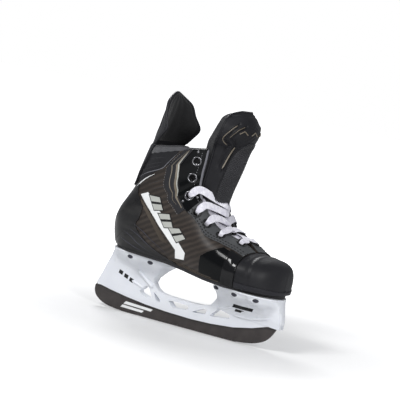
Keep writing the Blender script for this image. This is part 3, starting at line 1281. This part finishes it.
# Three small chevrons near the tongue's top, in place of lettering
marks = []
for k in range(3):
    q = np.linspace(0, 1, 12)
    for s in (-1, 1):
        marks.append(tongue_line(6.67 - 0.02 * k + 0.55 * (1 - q), -30 + 26 * k + s * 8.5 * q, -0.1,
                                 oval(1.1, 0.9, 6)))
ride_tongue(together("tongue_chevrons", marks, "trim_gold"), "trim_film")


def root_edge(u):
    return beside(u, at(u, FACING) + 9)


vamp = slab("tongue_root", toe_grid(5.6, 9.3, root_edge, 5.8, 30, 20),
            toe_grid(5.6, 9.3, root_edge, 8.6, 30, 20), "felt", 0.6)
ride_boot(vamp, "tongue_lining", "tongue_vamp")

# ---------------------------------------------------------------- lace

LACED = [6, 5, 4, 3, 2]
# Section and height over the ridge of each crossing, and the section where the last strand goes under
CROSSINGS = [[6.9, 0.6], [7.9, 0.6], [8.9, 1.4], [9.7, 3.6], [10.4, 6.2]]
LAST_UNDER = 12.2


def station(u, a, depth, side):
    u, a = np.array(float(u)), np.array(float(a))
    return skin(u, a, depth, side, 0.0), skin_normal(u, a, side)


def strand(k, side):
    """Stations of one strand: up through its eyelet, over the facing's edge, across the tongue and under
    the other facing."""
    u, y = EYELETS[LACED[k]]
    a, edge = beside(u, y), facing_a(u)
    lift = 2.0 if side == LATERAL else 0.0
    cu, ch = CROSSINGS[k]
    cross = station(cu, 1, -ch - lift, 0)
    over = station(u, edge, -3.0, side)
    halfway = (over[0] * 0.5 + cross[0] * 0.5 + over[1] * 0.9, over[1] * 0.6 + cross[1] * 0.4)
    goes_under = EYELETS[LACED[k + 1]][0] if k < len(LACED) - 1 else LAST_UNDER
    under = station(goes_under, facing_a(goes_under), 4.0, -side)
    beyond = (cross[0] * 0.45 + under[0] * 0.55, cross[1] * 0.45 + under[1] * 0.55)
    return [station(u, a, 4.2, side), station(u, a, 0.8, side), station(u, a + (edge - a) * 0.22, -3.0, side),
            over, halfway, cross, beyond, under]


def climb(side):
    """Stations of one end of the lace, from the lowest eyelets up."""
    out = []
    for k in range(len(LACED)):
        out += strand(k, side)
        side = -side
    # The free end is tucked down between the pad and the tongue
    return out + [station(u, up(u, t), depth, side) for u, t, depth in ((12.6, 0.86, 5.5), (12.4, 0.78, 8.0))]


route = climb(LATERAL)[::-1] + [station(6.0, 1, 4.8, 0)] + climb(MEDIAL)
points = curve(np.array([r[0] for r in route]), 9 * len(route))
faces_to = unit(curve(np.array([r[1] for r in route]), 9 * len(route)))
points, faces_to = resampled(points, 1.0, faces_to)
faces_to = unit(faces_to)
lace_profile = np.array([[-3.7, -0.2], [-3.4, -0.45], [-1.7, -0.55], [0, -0.6], [1.7, -0.55], [3.4, -0.45],
                         [3.7, -0.2], [3.7, 0.2], [3.4, 0.45], [1.7, 0.55], [0, 0.6], [-1.7, 0.55],
                         [-3.4, 0.45], [-3.7, 0.2]])
# A lace is narrower where it is drawn through an eyelet, and it ripples a little along its run
eyes = np.stack([eyelet_frame(s, LACED[k])[0] for s in (-1, 1) for k in range(5)])
near = np.linalg.norm(points[:, None] - eyes[None], axis=-1).min(1)
narrow = np.clip(0.62 + (near - 2.5) / 8, 0.62, 1)
profile = np.repeat(lace_profile[None], len(points), 0)
profile[:, :, 0] *= narrow[:, None]
profile[:, :, 1] *= (1 / narrow)[:, None] ** 0.7
i = np.arange(len(points))
profile[:, :, 1] += (0.10 * np.sin(i * 2.1))[:, None] * np.sign(lace_profile[None, :, 1])
profile[:, :, 1] += 0.035 * lace_profile[None, :, 0] ** 2 * np.sin(i / 9.0)[:, None]
lace = together("lace_braid", [sweep(points, faces_to, profile)], "lace", 70)
bake(lace, ("SUBSURF", dict(levels=1, render_levels=1)), smooth=180)
ride_boot(lace, "lace_cotton", "lace")
lace_length = float(np.linalg.norm(np.diff(points, axis=0), axis=1).sum()) * MM

# ---------------------------------------------------------------- runner

# x and z
RAIL_LINE = [[-105.5, 22], [-88, 18.6], [-68, 15.6], [-45, 13], [-20, 11.3], [9, 10.6],
             [32, 11.2], [57, 13.4], [78, 17.6], [97, 23.4], [108, 27]]
RUNNER_EDGE = [[-107.8, 19], [-107.4, 13.5], [-104, 8.2], [-97, 4], [-90, 2], [-82, 0.8],
               [-72, 0.2], [-62, 0], [50, 0], [60, 0.4], [70, 1.2], [80, 3], [86, 4.9],
               [92, 8], [97, 13], [101, 19.5], [103.5, 25]]


def prism(name, outline, half, material):
    """Outline in x and z, as thick as twice half."""
    x, z = np.asarray(outline, float).T
    n = len(x)
    points = np.concatenate([np.stack([x, np.full(n, y), z], -1) for y in (-half, half)])
    faces = [list(range(n)), [n + k for k in range(n)][::-1]]
    faces += [[k, n + k, n + (k + 1) % n, (k + 1) % n] for k in range(n)]
    return piece(name, points, faces, material, 30)


edge = np.maximum(curve(RUNNER_EDGE, 120), [-np.inf, 0])
top = [[103, 29]] + [[x, z + 4] for x, z in curve(RAIL_LINE[1:10], 60)[::-1]] + [[-103, 25.4], [-105.6, 22]]
runner = prism("runner_blade", np.concatenate([edge, top]), 1.5, "runner")
bevelled(runner, 0.25, 2, 50)
ride_boot(runner, "steel_runner", "runner")

# ---------------------------------------------------------------- holder

# Corners of the windows between the struts
LATTICE = [
    [[-54, 25], [-52, 22.7], [-41, 20], [-38, 21.4], [-43.6, 31.3], [-46, 31.6]],
    [[-36.5, 27.4], [-36, 25], [-32.4, 18.3], [-28, 19.4], [-29, 21.6]],
    [[-19, 22.6], [-13, 16.9], [2, 17.6], [5, 19.8], [4.4, 22.4], [-8, 23.4]],
    [[9.8, 18.2], [11, 17.6], [25, 18.8], [26.4, 23.8], [22, 23.6]],
    [[30, 19.4], [31, 18.3], [51.6, 20.6], [52.4, 22.6], [51, 24.8], [40, 27.2], [38, 26.8]]]


def rounded(corners, radius, steps=4):
    """Closed outline with its corners rounded."""
    c = np.asarray(corners, float)
    out = []
    for k in range(len(c)):
        a, b, d = c[k - 1], c[k], c[(k + 1) % len(c)]
        reach_a, reach_b = np.linalg.norm(a - b), np.linalg.norm(d - b)
        r = min(radius, reach_a * 0.45, reach_b * 0.45)
        p, q = b + (a - b) / reach_a * r, b + (d - b) / reach_b * r
        for f in np.linspace(0, 1, steps + 1):
            out.append((1 - f) ** 2 * p + 2 * f * (1 - f) * b + f * f * q)
    return np.array(out)


# Depth below the flange, and the share of the flange's reach past the core that is left there
FLARE = np.array([[0.0, 1.0], [1.4, 1.0], [2.4, 0.94], [5.2, 0.80], [7.2, 0.64], [8.6, 0.46], [10.4, 0.28],
                  [13.0, 0.15], [17.0, 0.06], [23.0, 0.0], [40.0, 0.0]])
CORE, RAIL_HALF = 5.5, 4.0


def tower(name, plan, span, depth_to, rivets):
    """The holder's tower: a flange that follows the sole and narrows to the rail's thickness."""
    plan = np.array(plan, float)
    levels = np.concatenate([np.linspace(0, 2, 4), np.linspace(2.6, 24, 30), np.linspace(26, depth_to, 6)])
    rows = []
    for d in levels:
        left, right = span(d)
        x = left + (right - left) * (0.5 - 0.5 * np.cos(math.pi * np.linspace(0, 1, 72)))
        # Scallops round the rivets push the flare's boundary down along the flange
        scallop = sum(3.2 * np.exp(-((x - p[0]) / 7) ** 2) for p in rivets)
        flare = at(np.maximum(d - 0.9 * scallop * np.clip((d - 2) / 4, 0, 1), 0), FLARE)
        core = CORE + (RAIL_HALF - CORE) * np.clip((d - 22) / 10, 0, 1)
        y = core + np.maximum(at(x, plan) - core, 0) * flare
        y = np.minimum(y, 2.2 + 4.5 * np.maximum(np.minimum(x - left, right - x), 0))
        rows.append(np.stack([x, y, sole_z(x) - 0.1 - d], -1))
    half = np.stack(rows)
    return slab(name, half, half * np.array([1, -1, 1]), "holder", 0)


def rear_span(d):
    """Back and front of the rear tower at a depth under the sole."""
    down = d - 62.5
    return (np.interp(down, [-64.6, -22], [-86.6, -104.5]),
            np.interp(down, [-61, -58.5, -54, -49, -41.5, -36.5, -32, -27],
                      [-13.5, -14, -24, -30, -36.8, -38.2, -35.5, -33]))


def front_span(d):
    down = d - 52.6
    return (np.interp(down, [-55.1, -46, -39, -35, -31.5, -28], [33, 32, 34.5, 34.8, 32.5, 30]),
            np.interp(down, [-50.3, -46, -33, -27], [103.5, 105, 107.4, 107.6]))


REAR_RIVETS = [[-58.5, 60.5], [-34.9, 61.4]]
FRONT_RIVETS = [[42.7, 51.6], [65.7, 52.3], [87.0, 53.0]]
FLANGE_REAR = [[-86.6, 9], [-84, 16], [-78, 21.5], [-68, 25], [-50, 26], [-32, 25], [-21, 20.5], [-15, 14],
               [-13, 7]]
FLANGE_FRONT = [[32.5, 12], [35, 19], [42, 25], [54, 29.5], [68, 31], [80, 29], [91, 23.5], [99, 15],
                [103.6, 7]]
RAIL_TOP = [[107.4, 33], [106.4, 38], [34.8, 35], [32.5, 31.5], [27, 28.6], [18, 26.6], [0, 26.3],
            [-22, 27.2], [-30, 28.6], [-35.5, 32], [-38.2, 36.5], [-99, 36.5]]

rear = tower("tower_rear", FLANGE_REAR, rear_span, 44, REAR_RIVETS)
front = tower("tower_front", FLANGE_FRONT, front_span, 28, FRONT_RIVETS)
holder = prism("holder_body", rounded(RAIL_LINE + RAIL_TOP, 1.6, 3), RAIL_HALF, "holder")
bevelled(holder, 1.1, 3, 40)
cutters = [prism(f"cut_{k}", rounded(w, 1.6), 12, "holder") for k, w in enumerate(LATTICE)]
slot_cut = prism("cut_slot", [[-112, -6], [112, -6], [112, 27], [104.2, 25.2], [103, 29.1]]
                 + [[x, z + 4.1] for x, z in RAIL_LINE[9:0:-1]] + [[-103, 25.5], [-106.5, 24], [-112, 23]],
                 1.55, "holder")
bake(holder, *[("BOOLEAN", dict(operation="UNION", object=o, solver="EXACT")) for o in (rear, front)],
     *[("BOOLEAN", dict(operation="DIFFERENCE", object=o, solver="EXACT")) for o in cutters + [slot_cut]])
for o in (rear, front, slot_cut, *cutters):
    bpy.data.objects.remove(o)
HOLDER_TREE = ray_tree(holder)
ride_boot(holder, "holder_plastic", "holder")


def side_rope(route, side, width, height, lift):
    """Raised rib on a side of the holder along a route of x and z."""
    outwards = np.array([0, side, 0])
    found = [f for f in (side_hit(HOLDER_TREE, x, z, side) for x, z in curve(route, 40)) if f[0] is not None]
    p = np.array([hit + outwards * lift for hit, _ in found])
    n = unit(np.array([n * 0.5 + outwards * 0.5 for _, n in found]))
    taper = np.clip(np.sin(np.linspace(0.06, math.pi - 0.06, len(p))) * 2.5, 0.2, 1)[:, None, None]
    return sweep(p, n, oval(width, height, 10)[None] * taper)


RIVET_HEAD = np.array([[1.0, -1.2], [1.0, 0.25], [0.86, 0.55], [0.5, 0.75], [0.12, 0.8]])
for side, name in SIDES:
    ribs = [side_rope([(-56.5, 45.5), (-46, 37), (-38.4, 31.4)], side, 3.6, 3.4, 0.5),
            side_rope([(-64, 33), (-50, 28.4), (-44, 26.0)], side, 2.6, 2.0, 0.0),
            side_rope([(52, 33), (46, 30), (36, 29)], side, 2.8, 2.0, 0.0),
            side_rope([(96, 31), (76, 26), (56, 25.5)], side, 2.6, 1.8, 0.0)]
    ride_boot(together(f"holder_ribs_{name}", ribs, "holder", 60), "holder_plastic")
    heads = []
    for x, _ in REAR_RIVETS + FRONT_RIVETS:
        p, n = side_hit(HOLDER_TREE, x, sole_z(x) - 4.4, side)
        n = unit(n * 0.6 + np.array([0, side, 0]) * 0.4)
        heads.append(turned_part(p, n, [0.07, 0, 1.0], RIVET_HEAD, 24, (3.1, 1.9)))
    nodes = ("rivets_rear", "rivets_front") if side == LATERAL else ()
    ride_boot(together(f"holder_rivets_{name}", heads, "rivet", 50), "rivet_metal", *nodes)

    # Plain marks on the holder and the runner, in place of lettering
    mark = np.array([(-79.5, 41.2), (-75.0, 39.6), (-76.3, 35.8), (-80.8, 37.4)])
    marks = [mark + [6.6 * k, -2.7 * k] for k in range(3)]
    marks += [[(55.5, 36.4), (78, 36.4), (76.4, 33.0), (53.9, 33.0)],
              [(58, 32.0), (68, 32.0), (63.5, 29.4), (56.8, 29.4)]]
    marks = printed(f"holder_marks_{name}", marks, HOLDER_TREE, side, 0.12, "eyelet_black")
    ride_boot(marks, "holder_plastic")
    marks = [[(-68.5, 10.6), (-36.0, 9.4), (-38.0, 6.9), (-71.0, 7.7)],
             [(-71.6, 6.6), (-46.0, 5.8), (-48.0, 3.4), (-74.0, 3.9)]]
    ride_boot(printed(f"runner_marks_{name}", marks, ray_tree(runner), side, 0.1, "white"), "steel_runner")

# ---------------------------------------------------------------- hidden hardware, size and end

for node, material in (("runner_studs", "fastener"), ("runner_nuts", "fastener"), ("insole_board", "board")):
    for obj in bpy.data.objects:
        if obj.type == "MESH" and obj.get("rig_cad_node") == node:
            obj.data.materials.clear()
            obj.data.materials.append(MATERIALS[material])
